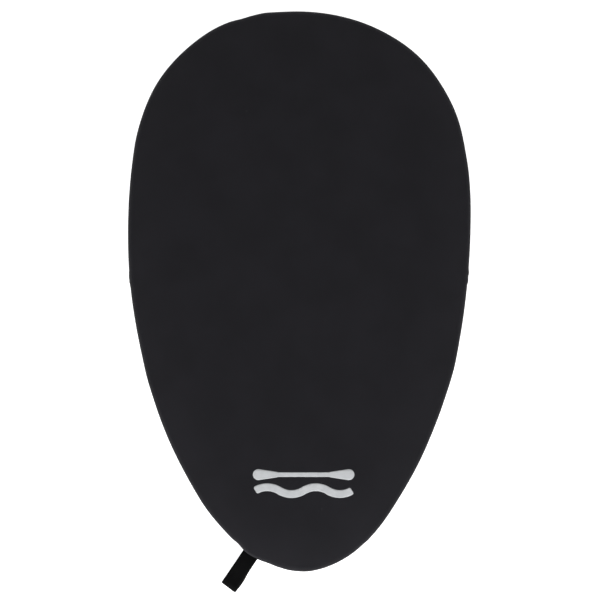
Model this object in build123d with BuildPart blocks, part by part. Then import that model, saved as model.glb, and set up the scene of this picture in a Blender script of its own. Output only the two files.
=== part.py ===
from build123d import *
from collections import namedtuple
from math import cos, degrees, radians, sin
import os

# Kayak cockpit cover in the shape it has when fitted: a domed neoprene deck, a side band in two
# pieces that turns under it, and a sleeve with a bungee ring that grips below the cockpit rim.
# A webbing pull strap is caught in the deck seam, left of the front tip.
# Millimetres. +Z is up, the narrow front end points to -Y, and the cover rests on its sleeve.
# Sections are drawn with x as the distance in from the outline and y as the height.

# ---- driving dimensions ----
neoprene = 3.0  # deck and side band
glue_gap = 0.1  # left between pieces that are glued or sewn together

# The outline is a chain of tangent arcs. A heading is the direction of the edge in degrees, going
# anticlockwise: 0 at the front tip, 90 at the widest place on the right and 180 at the rear.
tip_radius = 137.7
flank_radius = 611.5
side_radius = 900
shoulder_radius = 235.7
flank_start = 49.1
side_start = 73
shoulder_start = 98.5
rear_start = 160.3
side_seam = 85.2  # where the two band pieces meet, on each side
sleeve_seam = 84.2  # the sleeve's own joints lie a little further forward

# Deck: flat in the middle, falling towards the edge, then rolled over into a short wall.
deck_top = 48
deck_fall_width = 80
deck_edge_slope = 16
edge_roll_radius = 9
seam_height = 25

# Side band: an arc from the deck seam that turns under the deck.
band_radius = 24
band_turn = 68

tape_thickness = 0.6  # over the deck seam, inside
tape_turn = 20
side_tape_width = 19  # over the band's own joint, outside
side_tape_thickness = 1.0
side_tape_turns = (1, 50)

# Sleeve round the bungee, with a flange sewn inside the band.
sleeve_radius = 6.8
sleeve_bore = 4.2
sleeve_center = (24, 6.4)
flange_thickness = 3.5
flange_turns = (34, 76)

# Bungee ring, joined by a ferrule that squeezes its two ends.
bungee_radius = 4.0
bungee_wall = 0.75
crimped_radius = 3.3
ferrule_radius = 4.1
ferrule_length = 24
bungee_end_gap = 2.0
bungee_layer_gap = 0.05

# Pull strap: webbing folded into a flat loop.
strap_heading = -34
strap_width = 25
strap_thickness = 2.8
strap_layer = 1.3
strap_reach = 62.3  # beyond the outline
strap_pivot = (-2.1, 23.5)
strap_droop = 20.3  # below level, so the end lies just above the floor
strap_slit_start = 10
strap_tail_turn = 28
tack_length = 19
tack_width = 2.2
tack_height = 0.35  # above the webbing
loop_tack_place = 6.2
tail_tack_turn = 17

# Print near the front: a paddle over a wave.
emblem_center = (7, 137.3)  # the second value is the distance from the front tip
emblem_width = 157
emblem_thickness = 0.2
paddle_height = 14  # above the emblem's center
paddle_shaft = 7
blade_radius = 8.5
blade_neck_radius = 4
blade_length = 38
wave_height = -10.8  # below the emblem's center
wave_count = 4  # half waves
wave_width = 150
wave_radius = 36
wave_stroke = 12

thread_radius = 0.45
sleeve_stitch_turn = 56

# ---- outline ----
Arc = namedtuple("Arc", "center radius start end")


def outward(heading):
    """Unit vector out of the outline, where its edge runs at this heading."""
    return Vector(sin(radians(heading)), -cos(radians(heading)))


def right_side_arcs():
    """The arcs from the front tip to the rear on the right, with the tip at the origin."""
    starts = [0, flank_start, side_start, shoulder_start, rear_start, 180]
    radii = [tip_radius, flank_radius, side_radius, shoulder_radius]
    center = Vector(0, tip_radius)
    made = [Arc(center, tip_radius, starts[0], starts[1])]
    for number in range(1, 4):
        center = center + outward(starts[number]) * (radii[number - 1] - radii[number])
        made.append(Arc(center, radii[number], starts[number], starts[number + 1]))
    # The rear arc has its center on the middle line, which sets its radius.
    rear_radius = shoulder_radius + center.X / sin(radians(rear_start))
    center = center + outward(rear_start) * (shoulder_radius - rear_radius)
    made.append(Arc(center, rear_radius, starts[4], starts[5]))
    return made


right = right_side_arcs()
cover_length = right[-1].center.Y + right[-1].radius
strap_end = outward(strap_heading) * (tip_radius + strap_reach)
strap_low_corner = tip_radius + strap_end.Y + strap_width / 2 * sin(radians(strap_heading))
tip_y = -(cover_length - strap_low_corner) / 2 - strap_low_corner  # centers the whole box on Y = 0

tip, flank, side, shoulder, rear = [
    Arc(arc.center + Vector(0, tip_y), arc.radius, arc.start, arc.end) for arc in right
]


def mirrored(arc):
    return Arc(Vector(-arc.center.X, arc.center.Y), arc.radius, -arc.end, -arc.start)


one_turn = [
    *[mirrored(arc) for arc in (rear, shoulder, side, flank, tip)],
    *[tip, flank, side, shoulder, rear],
]


def outline_arcs(first, last):
    """The outline's arcs between two headings, which may run past the rear."""
    made = []
    for turn in (-360, 0, 360):
        for arc in one_turn:
            start, end = max(first, arc.start + turn), min(last, arc.end + turn)
            if end - start > 1e-6:
                made.append(Arc(arc.center, arc.radius, start, end))
    return made


def section_plane(arc, heading):
    """Upright plane across the edge: x points inwards, y points up."""
    place = arc.center + outward(heading) * arc.radius
    inwards = -outward(heading)
    along = Vector(cos(radians(heading)), sin(radians(heading)))
    return Plane(origin=place, x_dir=inwards, z_dir=along)


def turn_section(section, first=-180, last=180, mode=Mode.ADD):
    """Carries a section along the edge between two headings, into the part being built."""
    for arc in outline_arcs(first, last):
        with BuildSketch(section_plane(arc, arc.start)) as placed:
            add(section)
        revolve(
            placed.sketch,
            axis=Axis((arc.center.X, arc.center.Y, 0), (0, 0, 1)),
            revolution_arc=arc.end - arc.start,
            mode=mode,
        )


def inner_outline(inset, height):
    """The outline, moved in by a distance, as a level face."""
    with BuildSketch(Plane.XY.offset(height)) as face:
        with BuildLine():
            for arc in outline_arcs(-180, 180):
                CenterArc(arc.center, arc.radius - inset, arc.start - 90, arc.end - arc.start)
        make_face()
    return face.sketch


def save(piece, name):
    piece.part.label = name
    export_step(piece.part, f"parts/{name}.step")


def round_section(center, radius, bore=0):
    with BuildSketch() as ring:
        with Locations(center):
            Circle(radius)
            if bore:
                Circle(bore, mode=Mode.SUBTRACT)
    return ring.sketch


def arc_strip(center, outer, inner, start, size):
    """A strip between two arcs round one center."""
    with BuildSketch() as strip:
        with BuildLine():
            outside = CenterArc(center, outer, start, size)
            inside = CenterArc(center, inner, start, size)
            Line(outside @ 0, inside @ 0)
            Line(outside @ 1, inside @ 1)
        make_face()
    return strip.sketch


os.makedirs("parts", exist_ok=True)

# ---- deck panel ----
roll_run = edge_roll_radius * (1 - sin(radians(deck_edge_slope)))
fall_radius = (deck_fall_width - roll_run) / sin(radians(deck_edge_slope))
fall_center = (deck_fall_width, deck_top - fall_radius)
roll_top = deck_top - fall_radius * (1 - cos(radians(deck_edge_slope)))
roll_center = (edge_roll_radius, roll_top - edge_roll_radius * cos(radians(deck_edge_slope)))
roll_turn = 90 - deck_edge_slope


wall_bottom = seam_height + glue_gap / 2
with BuildSketch() as deck_section:
    with BuildLine():
        fall_out = CenterArc(fall_center, fall_radius, 90, deck_edge_slope)
        fall_in = CenterArc(fall_center, fall_radius - neoprene, 90, deck_edge_slope)
        roll_out = CenterArc(roll_center, edge_roll_radius, 180 - roll_turn, roll_turn)
        roll_in = CenterArc(
            roll_center, edge_roll_radius - neoprene, 180 - roll_turn, roll_turn
        )
        Line(fall_out @ 0, fall_in @ 0)
        Polyline(roll_out @ 1, (0, wall_bottom), (neoprene, wall_bottom), roll_in @ 1)
    make_face()
    chamfer(deck_section.vertices().group_by(Axis.Y)[0].sort_by(Axis.X)[0], 1.0)

with BuildPart() as deck_panel:
    turn_section(deck_section.sketch)
    extrude(inner_outline(deck_fall_width, deck_top), amount=-neoprene)

save(deck_panel, "deck_panel")

# ---- side band, in a rear and a front piece ----
band_center = (band_radius, seam_height)
band_inside = band_radius - neoprene
strap_half_angle = Vector(tip_radius, strap_width / 2).get_angle(Vector(1, 0))
slot_half_angle = strap_half_angle + 0.15

with BuildSketch() as band_section:
    add(arc_strip(band_center, band_radius, band_inside, 180, band_turn))
    with Locations((0, seam_height)):
        Rectangle(10, glue_gap, mode=Mode.SUBTRACT)
    chamfer(band_section.vertices().group_by(Axis.Y)[-1].sort_by(Axis.X)[0], 1.0)

slot_depth = strap_thickness + 0.2
with BuildSketch() as slot_section:
    with Locations((0, seam_height)):
        Rectangle(12, 2 * slot_depth)

half_seam = degrees(glue_gap / 2 / side_radius)
with BuildPart() as side_band_rear:
    turn_section(band_section.sketch, side_seam + half_seam, 360 - side_seam - half_seam)
save(side_band_rear, "side_band_rear")

with BuildPart() as side_band_front:
    turn_section(band_section.sketch, -side_seam + half_seam, side_seam - half_seam)
    turn_section(
        slot_section.sketch,
        strap_heading - slot_half_angle,
        strap_heading + slot_half_angle,
        mode=Mode.SUBTRACT,
    )
save(side_band_front, "side_band_front")

# ---- sleeve round the bungee, in a rear and a front piece ----
flange_outside = band_inside - glue_gap

with BuildSketch() as sleeve_section:
    flange = arc_strip(
        band_center,
        flange_outside,
        flange_outside - flange_thickness,
        180 + flange_turns[0],
        flange_turns[1] - flange_turns[0],
    )
    add(flange)
    with Locations(sleeve_center):
        Circle(sleeve_radius)
        Circle(sleeve_bore, mode=Mode.SUBTRACT)
    with Locations((sleeve_center[0], 0)):
        Rectangle(4 * sleeve_radius, 20, align=(Align.CENTER, Align.MAX), mode=Mode.SUBTRACT)

with BuildPart() as rand_sleeve_rear:
    turn_section(sleeve_section.sketch, sleeve_seam + half_seam, 360 - sleeve_seam - half_seam)
save(rand_sleeve_rear, "rand_sleeve_rear")

with BuildPart() as rand_sleeve_front:
    turn_section(sleeve_section.sketch, -sleeve_seam + half_seam, sleeve_seam - half_seam)
save(rand_sleeve_front, "rand_sleeve_front")

# ---- tapes ----
tape_outside = band_inside - glue_gap
tail_gap = strap_half_angle + 0.5
past_strap = (strap_heading + tail_gap, strap_heading - tail_gap + 360)

with BuildSketch() as tape_section:
    add(arc_strip(band_center, tape_outside, tape_outside - tape_thickness, 180, tape_turn))
    with Locations((band_radius - tape_outside, seam_height)):
        Rectangle(tape_thickness, roll_center[1] - seam_height, align=Align.MIN)

with BuildPart() as deck_seam_tape:
    turn_section(tape_section.sketch, *past_strap)
save(deck_seam_tape, "deck_seam_tape")

side_tape_inside = band_radius + glue_gap
half_tape = degrees(side_tape_width / 2 / side_radius)
side_tape_section = arc_strip(
    band_center,
    side_tape_inside + side_tape_thickness,
    side_tape_inside,
    180 + side_tape_turns[0],
    side_tape_turns[1] - side_tape_turns[0],
)

with BuildPart() as side_seam_tape_right:
    turn_section(side_tape_section, side_seam - half_tape, side_seam + half_tape)
save(side_seam_tape_right, "side_seam_tape_right")

with BuildPart() as side_seam_tape_left:
    turn_section(side_tape_section, -side_seam - half_tape, -side_seam + half_tape)
save(side_seam_tape_left, "side_seam_tape_left")

# ---- bungee ring and its ferrule, joined at the rear inside the sleeve ----
bungee_turn_radius = rear.radius - sleeve_center[0]
crimp_end = degrees(bungee_end_gap / 2 / bungee_turn_radius)
crimp_start = degrees(ferrule_length / 2 / bungee_turn_radius)


def bungee_layer(free_section, crimped_section):
    """One layer of the bungee: the long free part and the two squeezed ends."""
    turn_section(free_section, -180 + crimp_start, 180 - crimp_start)
    turn_section(crimped_section, -180 + crimp_end, -180 + crimp_start)
    turn_section(crimped_section, 180 - crimp_start, 180 - crimp_end)


sheath_bore = bungee_radius - bungee_wall
crimped_bore = crimped_radius - bungee_wall

with BuildPart() as bungee_sheath:
    bungee_layer(
        round_section(sleeve_center, bungee_radius, sheath_bore),
        round_section(sleeve_center, crimped_radius, crimped_bore),
    )
save(bungee_sheath, "bungee_sheath")

with BuildPart() as bungee_core:
    bungee_layer(
        round_section(sleeve_center, sheath_bore - bungee_layer_gap),
        round_section(sleeve_center, crimped_bore - bungee_layer_gap),
    )
save(bungee_core, "bungee_core")

with BuildPart() as bungee_ferrule:
    turn_section(
        round_section(sleeve_center, ferrule_radius, crimped_radius + bungee_layer_gap),
        180 - crimp_start + 0.03,
        180 + crimp_start - 0.03,
    )
save(bungee_ferrule, "bungee_ferrule")

# ---- stitching: one thread over the deck seam tape, and the two threads of the sleeve seam ----
thread_offset = thread_radius + glue_gap / 2


def band_point(radius, turn):
    """A place in the section, at a distance from the band's center and past its top."""
    return (
        band_center[0] - radius * cos(radians(turn)),
        band_center[1] - radius * sin(radians(turn)),
    )


tape_inside = band_radius - tape_outside + tape_thickness
with BuildPart() as deck_seam_thread:
    turn_section(
        round_section((tape_inside + thread_offset, seam_height + 1.5), thread_radius),
        *past_strap,
    )
save(deck_seam_thread, "deck_seam_thread")

with BuildPart() as sleeve_needle_thread:
    thread_place = band_point(band_radius + thread_offset, sleeve_stitch_turn)
    turn_section(round_section(thread_place, thread_radius))
save(sleeve_needle_thread, "sleeve_needle_thread")

with BuildPart() as sleeve_bobbin_thread:
    flange_inside = flange_outside - flange_thickness
    thread_place = band_point(flange_inside - thread_offset, sleeve_stitch_turn)
    turn_section(round_section(thread_place, thread_radius))
save(sleeve_bobbin_thread, "sleeve_bobbin_thread")

# ---- pull strap: the tail is sewn inside the band, and the loop hangs outside ----
strap_level = strap_pivot[1]
tail_outside = tape_outside
tail_inside = tail_outside - strap_thickness

with BuildSketch() as tail_section:
    add(arc_strip(band_center, tail_outside, tail_inside, 180.3, strap_tail_turn))
    with Locations((-0.2, strap_level)):
        Rectangle(5, strap_thickness, align=(Align.MIN, Align.CENTER))

tack_angle = degrees(tack_width / tail_outside)
tack_reach = degrees(tack_length / 2 / tip_radius)
tack_start = 180 + tail_tack_turn
tail_tack_slot = arc_strip(
    band_center, tail_outside + 1, tail_inside - 1, tack_start - 0.15, tack_angle + 0.3
)
tail_tack_section = arc_strip(
    band_center, tail_outside, tail_inside - tack_height, tack_start, tack_angle
)

with BuildPart() as strap_tail:
    turn_section(
        tail_section.sketch,
        strap_heading - strap_half_angle,
        strap_heading + strap_half_angle,
    )
    turn_section(
        tail_tack_slot,
        strap_heading - tack_reach - 0.04,
        strap_heading + tack_reach + 0.04,
        mode=Mode.SUBTRACT,
    )
save(strap_tail, "strap_tail")

with BuildPart() as tail_bar_tack:
    turn_section(tail_tack_section, strap_heading - tack_reach, strap_heading + tack_reach)
save(tail_bar_tack, "tail_bar_tack")

out = outward(strap_heading)
root = tip.center + out * (tip.radius - strap_pivot[0]) + Vector(0, 0, strap_level)
along = Vector(cos(radians(strap_heading)), sin(radians(strap_heading)))
down_the_strap = out * cos(radians(strap_droop)) - Vector(0, 0, sin(radians(strap_droop)))
strap_plane = Plane(origin=root, x_dir=down_the_strap, z_dir=along)

nose_radius = strap_thickness / 2
nose_place = (strap_reach + strap_pivot[0] - nose_radius) / cos(radians(strap_droop))
slit = strap_thickness - 2 * strap_layer

with BuildPart() as pull_strap:
    with BuildSketch(strap_plane):
        with Locations((nose_place / 2, 0)):
            SlotCenterToCenter(nose_place, strap_thickness)
        with Locations((strap_slit_start, 0)):
            Rectangle(
                nose_place - strap_slit_start,
                slit,
                align=(Align.MIN, Align.CENTER),
                mode=Mode.SUBTRACT,
            )
    extrude(amount=strap_width / 2, both=True)
    with BuildSketch(strap_plane):
        with Locations((loop_tack_place, 0)):
            Rectangle(tack_width + 0.1, 2 * strap_thickness)
    extrude(amount=tack_length / 2 + 0.05, both=True, mode=Mode.SUBTRACT)
save(pull_strap, "pull_strap")

with BuildPart() as loop_bar_tack:
    with BuildSketch(strap_plane):
        with Locations((loop_tack_place, 0)):
            Rectangle(tack_width, strap_thickness + 2 * tack_height)
    extrude(amount=tack_length / 2, both=True)
save(loop_bar_tack, "loop_bar_tack")

# ---- printed emblem, lying on the deck ----
print_bottom = fall_radius + glue_gap / 2
print_top = print_bottom + emblem_thickness
print_height = deck_top + glue_gap / 2
print_section = arc_strip(fall_center, print_top, print_bottom, 90, deck_edge_slope)


def paddle():
    """A shaft with a blade at each end, widest near its tip."""
    with BuildSketch() as shape:
        for side in (-1, 1):
            with BuildSketch(mode=Mode.PRIVATE) as blade:
                with Locations((side * (emblem_width / 2 - blade_radius), 0)):
                    Circle(blade_radius)
                with Locations((side * (emblem_width / 2 - blade_length), 0)):
                    Circle(blade_neck_radius)
                make_hull()
            add(blade.sketch)
        Rectangle(emblem_width - 2 * blade_length, paddle_shaft)
    return shape.sketch


def wave():
    """A wave line of alternating arcs, centered on the emblem."""
    pitch = wave_width / wave_count
    with BuildSketch() as band:
        with BuildLine() as line:
            for number in range(wave_count):
                start = (number * pitch - wave_width / 2, 0)
                end = (start[0] + pitch, 0)
                RadiusArc(start, end, wave_radius if number % 2 else -wave_radius)
        trace(line.line, line_width=wave_stroke)
    return band.sketch


with BuildPart() as emblem_print:
    turn_section(print_section, -100, 100)
    extrude(inner_outline(deck_fall_width, print_height), amount=emblem_thickness)
    with BuildSketch(Plane.XY.offset(deck_top - 10)):
        with Locations((emblem_center[0], tip_y + emblem_center[1])):
            with Locations((0, paddle_height)):
                add(paddle())
            with Locations((0, wave_height)):
                add(wave())
    extrude(amount=20, mode=Mode.INTERSECT)
save(emblem_print, "emblem_print")
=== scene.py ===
import bpy
import bmesh
import math
import random
from mathutils import Matrix, Vector, noise


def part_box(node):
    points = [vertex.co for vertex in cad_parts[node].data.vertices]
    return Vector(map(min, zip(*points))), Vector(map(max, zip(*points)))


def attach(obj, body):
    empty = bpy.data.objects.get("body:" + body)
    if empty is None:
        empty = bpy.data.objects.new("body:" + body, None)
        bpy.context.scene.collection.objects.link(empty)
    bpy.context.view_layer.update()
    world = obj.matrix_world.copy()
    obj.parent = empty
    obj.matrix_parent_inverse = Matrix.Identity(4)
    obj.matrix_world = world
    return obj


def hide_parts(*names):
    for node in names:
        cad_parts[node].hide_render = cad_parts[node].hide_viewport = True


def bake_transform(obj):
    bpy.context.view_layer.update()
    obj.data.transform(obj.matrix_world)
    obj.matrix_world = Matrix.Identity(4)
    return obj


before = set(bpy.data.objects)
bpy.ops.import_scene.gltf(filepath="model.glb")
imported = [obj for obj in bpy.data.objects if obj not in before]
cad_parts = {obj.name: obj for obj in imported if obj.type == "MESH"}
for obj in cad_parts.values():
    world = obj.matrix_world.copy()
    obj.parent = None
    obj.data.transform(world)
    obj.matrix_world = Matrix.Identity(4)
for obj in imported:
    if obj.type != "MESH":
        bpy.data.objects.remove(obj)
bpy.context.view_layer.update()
random.seed(11)

# Neoprene kayak cockpit cover, lying on its bungee sleeve. Metres, +Z up, front tip at -Y.

# ---------- the outline that every sewn piece follows ----------
# A heading is the direction of the edge in degrees: 0 at the front tip, 90 at the right side,
# 180 at the rear. An inset is the distance in from the deck's outline.
rim = {
    "radii": (0.1377, 0.6115, 0.9, 0.2357),  # tip, flank, side, shoulder
    "handovers": (49.1, 73.0, 98.5, 160.3),
    "sideSeam": 85.2,
    "sleeveSeam": 84.2,
    # where the soft edge lies outside or inside its pattern: heading, spread in degrees, metres
    "drift": (
        (-170, 3, 0.0011), (-163, 2, -0.0009), (-157, 14, 0.0034), (-129, 20, 0.0005),
        (-108, 12, -0.0019), (-85, 4, 0.0007), (-75, 1.5, 0.0007), (-55, 4, 0.0016),
        (-46, 4, -0.0009), (-44, 7, -0.0026), (-28, 7, -0.0022), (-21, 4, -0.0015),
        (-15, 7, -0.0022), (5, 6, 0.0009), (13, 10, 0.0008), (52, 4, 0.0021),
        (60, 20, 0.0007), (68, 5, -0.0010), (76, 2, 0.0012), (84, 4, -0.0007),
        (94, 3.5, 0.0018), (96, 1.5, 0.0006), (121, 10, -0.0010), (152, 10, -0.0007),
        (157, 20, -0.0005),
        # small lumps where the band's joints lie under the edge
        (-85.25, 0.3, 0.0005), (-84.6, 0.3, 0.0006), (84.85, 0.28, 0.0007), (85.7, 0.28, 0.0009),
    ),
    "give": 0.0007,  # and all round it stands this far outside
    "driftDepth": 0.012,
}


def outward(heading):
    turn = math.radians(heading)
    return Vector((math.sin(turn), -math.cos(turn), 0))


def buildRimArcs():
    radii = list(rim["radii"])
    starts = [0, *rim["handovers"], 180]
    center = Vector((0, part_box("deck_panel")[0][1] + radii[0], 0))
    centers = [center]
    for n in range(1, 4):
        center = center + outward(starts[n]) * (radii[n - 1] - radii[n])
        centers.append(center)
    rearRadius = radii[3] + center.x / math.sin(math.radians(starts[4]))
    centers.append(center + outward(starts[4]) * (radii[3] - rearRadius))
    radii.append(rearRadius)
    right = [(centers[n], radii[n], starts[n], starts[n + 1]) for n in range(5)]
    left = [(Vector((-c.x, c.y, 0)), r, -b, -a) for c, r, a, b in reversed(right)]
    return left + right


rimArcs = buildRimArcs()


def arcsBetween(first, last):
    made = []
    for turn in (-360, 0, 360):
        for center, radius, a, b in rimArcs:
            a2, b2 = max(first, a + turn), min(last, b + turn)
            if b2 - a2 > 1e-6:
                made.append((center, radius, a2, b2))
    return made


def wrapHeading(heading):
    return (heading + 180) % 360 - 180


def rimPoint(heading, inset=0.0, z=0.0):
    h = wrapHeading(heading)
    for center, radius, a, b in rimArcs:
        if a - 1e-6 <= h <= b + 1e-6:
            return center + outward(h) * (radius - inset) + Vector((0, 0, z))


def rimPlace(x, y):
    # heading and inset of a point
    best = (0.0, 1.0)
    for center, radius, a, b in rimArcs:
        dx, dy = x - center.x, y - center.y
        h = math.degrees(math.atan2(dx, -dy))
        for turned in (h, h - 360, h + 360):
            if a - 0.01 <= turned <= b + 0.01:
                inset = radius - math.hypot(dx, dy)
                if inset < best[1]:
                    best = (turned, inset)
    return best


def alongRim(heading):
    # metres along the outline from the rear, anticlockwise
    h = wrapHeading(heading)
    total = 0.0
    for _, radius, a, b in rimArcs:
        if h <= b:
            return total + radius * math.radians(max(0.0, h - a))
        total += radius * math.radians(b - a)
    return total


rimLength = alongRim(179.99999)


def headingAt(along):
    # the reverse of alongRim
    along = along % rimLength
    for _, radius, a, b in rimArcs:
        length = radius * math.radians(b - a)
        if along <= length:
            return a + math.degrees(along / radius)
        along -= length
    return 180.0


def rimDrift(heading, inset):
    total = rim["give"]
    for at, spread, size in rim["drift"]:
        off = wrapHeading(heading - at) / spread
        if abs(off) < 4:
            total += size * math.exp(-off * off)
    depth = max(0.0, inset) / rim["driftDepth"]
    return total * math.exp(-depth * depth)


def clamp(value, low=0.0, high=1.0):
    return max(low, min(high, value))


def ease(value):
    value = clamp(value)
    return value * value * (3 - 2 * value)


# ---------- modelling helpers ----------
mergeWithin = 1e-6


def selectNothing():
    bpy.ops.object.select_all(action="DESELECT")


def takeUp(piece):
    selectNothing()
    piece.select_set(True)
    bpy.context.view_layer.objects.active = piece


def editAll(piece):
    takeUp(piece)
    bpy.ops.object.mode_set(mode="EDIT")
    bpy.ops.mesh.select_all(action="SELECT")


def leaveEdit():
    bpy.ops.object.mode_set(mode="OBJECT")


def smoothBy(angle):
    bpy.ops.object.shade_smooth_by_angle(angle=math.radians(angle))


def finishShell(piece, angle=40):
    # merged, with its normals outward, and shaded smooth
    editAll(piece)
    bpy.ops.mesh.remove_doubles(threshold=mergeWithin)
    bpy.ops.mesh.normals_make_consistent(inside=False)
    leaveEdit()
    smoothBy(angle)


def addLoop(name, count):
    # a small closed loop of edges, to be shaped
    selectNothing()
    bpy.ops.mesh.primitive_circle_add(vertices=count, radius=0.01)
    piece = bpy.context.object
    piece.name = piece.data.name = name
    return piece


def addStrip(name, columns, rows):
    # a flat grid from -1 to 1 both ways, to be shaped
    selectNothing()
    bpy.ops.mesh.primitive_grid_add(x_subdivisions=columns, y_subdivisions=rows, size=2)
    piece = bpy.context.object
    piece.name = piece.data.name = name
    return piece


def thicken(piece, name, thickness, even=False):
    # inwards, so its face stays where it is
    solid = piece.modifiers.new(name, "SOLIDIFY")
    solid.thickness = thickness
    solid.offset = -1
    solid.use_even_offset = even
    takeUp(piece)
    bpy.ops.object.modifier_apply(modifier=name)


def joinPieces(parts, name):
    selectNothing()
    for part in parts:
        part.select_set(True)
    bpy.context.view_layer.objects.active = parts[0]
    bpy.ops.object.join()
    piece = bpy.context.object
    piece.name = piece.data.name = name
    return piece


def standsFor(piece, slot, *nodes, body="cover"):
    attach(piece, body)
    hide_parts(*nodes)


def loftRings(name, rings, fillStart=False, fillEnd=False):
    # a circle shaped into the first ring, then extruded ring by ring
    piece = addLoop(name, len(rings[0]))
    placeOf = piece.data.attributes.new("place", "INT", "POINT")
    for vertex, spot in zip(piece.data.vertices, rings[0]):
        placeOf.data[vertex.index].value = vertex.index
        vertex.co = spot
    editAll(piece)
    if fillStart:
        bpy.ops.mesh.edge_face_add()
        bpy.ops.mesh.select_all(action="SELECT")
        bpy.ops.mesh.region_to_loop()
    for ring in rings[1:]:
        bpy.ops.mesh.extrude_edges_move()
        work = bmesh.from_edit_mesh(piece.data)
        place = work.verts.layers.int["place"]
        for vertex in work.verts:
            if vertex.select:
                vertex.co = ring[vertex[place]]
        bmesh.update_edit_mesh(piece.data)
    if fillEnd == "grid":
        bpy.ops.mesh.fill_grid(span=len(rings[0]) // 4)
    elif fillEnd:
        bpy.ops.mesh.edge_face_add()
    leaveEdit()
    return piece


def spinAlongRim(name, section, first=-180.0, last=180.0, step=0.004):
    # a circle shaped into the section, a closed loop of (inset, z), then spun arc by arc
    piece = addLoop(name, len(section))
    for vertex, (inset, z) in zip(piece.data.vertices, section):
        vertex.co = rimPoint(first, inset, z)
    editAll(piece)
    for center, radius, a, b in arcsBetween(first, last):
        sweep = math.radians(b - a)
        steps = max(1, round(radius * sweep / step))
        bpy.ops.mesh.spin(steps=steps, angle=-sweep, center=center[:], axis=(0, 0, 1))
    bpy.ops.mesh.select_all(action="SELECT")
    bpy.ops.mesh.remove_doubles(threshold=mergeWithin)
    if last - first < 359.9:  # an open run, closed at both ends
        bpy.ops.mesh.fill_holes(sides=0)
    bpy.ops.mesh.select_all(action="SELECT")
    bpy.ops.mesh.normals_make_consistent(inside=False)
    leaveEdit()
    return piece


def mapPiece(piece, mapping, mapName="clothMap"):
    # UV in metres; mapping gives (u, v) for a vertex, and u may wrap at the rear
    layer = piece.data.uv_layers.get(mapName) or piece.data.uv_layers.new(name=mapName)
    places = [mapping(vertex.co) for vertex in piece.data.vertices]
    for face in piece.data.polygons:
        firstU = places[piece.data.loops[face.loop_start].vertex_index][0]
        for loop in face.loop_indices:
            u, v = places[piece.data.loops[loop].vertex_index]
            if u - firstU > rimLength / 2:
                u -= rimLength
            elif firstU - u > rimLength / 2:
                u += rimLength
            layer.data[loop].uv = (u, v)


def layUV(piece, uvOf):
    # UV in metres from a place, for a piece that doesn't wrap round the rim
    layer = piece.data.uv_layers.active or piece.data.uv_layers.new(name="clothMap")
    layer.name = "clothMap"
    for loop in piece.data.loops:
        layer.data[loop.index].uv = uvOf(piece.data.vertices[loop.vertex_index].co)


def microns(co):
    return tuple(round(c * 1e6) for c in co)


def rubAttribute(piece, amount):
    # how much each place is handled or rubbed, read by the materials
    layer = piece.data.attributes.new("rub", "FLOAT", "POINT")
    for vertex in piece.data.vertices:
        layer.data[vertex.index].value = amount(vertex.co)


def reshape(piece, move):
    for vertex in piece.data.vertices:
        vertex.co = move(vertex.co)
    piece.data.update()


def settleCloth(piece, move, material):
    reshape(piece, move)
    finishShell(piece, 50)
    piece.data.materials.append(material)
    return piece


def driftOnly(co):
    heading, inset = rimPlace(co.x, co.y)
    return co + outward(heading) * rimDrift(heading, inset)


def smoothPath(points, steps):
    # Catmull-Rom through the points
    made = []
    for n in range(len(points) - 1):
        p0 = Vector(points[max(0, n - 1)])
        p1, p2 = Vector(points[n]), Vector(points[n + 1])
        p3 = Vector(points[min(len(points) - 1, n + 2)])
        for k in range(steps):
            t = k / steps
            made.append(0.5 * (2 * p1 + (p2 - p0) * t + (2 * p0 - 5 * p1 + 4 * p2 - p3) * t * t
                               + (3 * p1 - p0 - 3 * p2 + p3) * t * t * t))
    made.append(Vector(points[-1]))
    return made


def thickenPath(path, thickness):
    # closed section of a folded sheet that follows a path
    sides = ([], [])
    for n, spot in enumerate(path):
        ahead = path[min(n + 1, len(path) - 1)] - path[max(n - 1, 0)]
        normal = Vector((-ahead.y, ahead.x)).normalized()
        inner = thickness / 2 * (0.72 if n in (0, len(path) - 1) else 1)
        sides[0].append(spot + normal * inner)
        sides[1].append(spot - normal * inner)
    return [tuple(p) for p in sides[0]] + [tuple(p) for p in reversed(sides[1])]


# ---------- shader groups ----------
def feed(tree, socket, value):
    # a number or a color to set, or another node's output to link
    if isinstance(value, bpy.types.NodeSocket):
        tree.links.new(value, socket)
    elif isinstance(value, tuple) and len(socket.default_value) == 4:
        socket.default_value = (*value, 1)
    else:
        socket.default_value = value


def addNode(tree, kind, **values):
    node = tree.nodes.new("ShaderNode" + kind)
    for label, value in values.items():
        feed(tree, node.inputs[label], value)
    return node


def addMath(tree, operation, *values):
    node = tree.nodes.new("ShaderNodeMath")
    node.operation = operation
    for socket, value in zip(node.inputs, values):
        feed(tree, socket, value)
    return node.outputs[0]


def times(tree, a, b):
    return addMath(tree, "MULTIPLY", a, b)


def plus(tree, a, b):
    return addMath(tree, "ADD", a, b)


def addRange(tree, value, fromLow, fromHigh, toLow, toHigh, smooth=True):
    node = addNode(tree, "MapRange", Value=value)
    node.interpolation_type = "SMOOTHSTEP" if smooth else "LINEAR"
    for label, bound in (("From Min", fromLow), ("From Max", fromHigh),
                         ("To Min", toLow), ("To Max", toHigh)):
        node.inputs[label].default_value = bound
    return node.outputs["Result"]


def addNoise(tree, vector, scale, detail=3.0, roughness=0.55):
    return addNode(tree, "TexNoise", Vector=vector, Scale=scale, Detail=detail,
                   Roughness=roughness).outputs["Fac"]


def addDiagonalWave(tree, vector, scale, distortion=0.0):
    node = addNode(tree, "TexWave", Vector=vector, Scale=scale, Distortion=distortion)
    node.bands_direction = "DIAGONAL"
    return node.outputs["Fac"]


def splitXY(tree, vector):
    outputs = addNode(tree, "SeparateXYZ", Vector=vector).outputs
    return outputs["X"], outputs["Y"]


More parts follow.
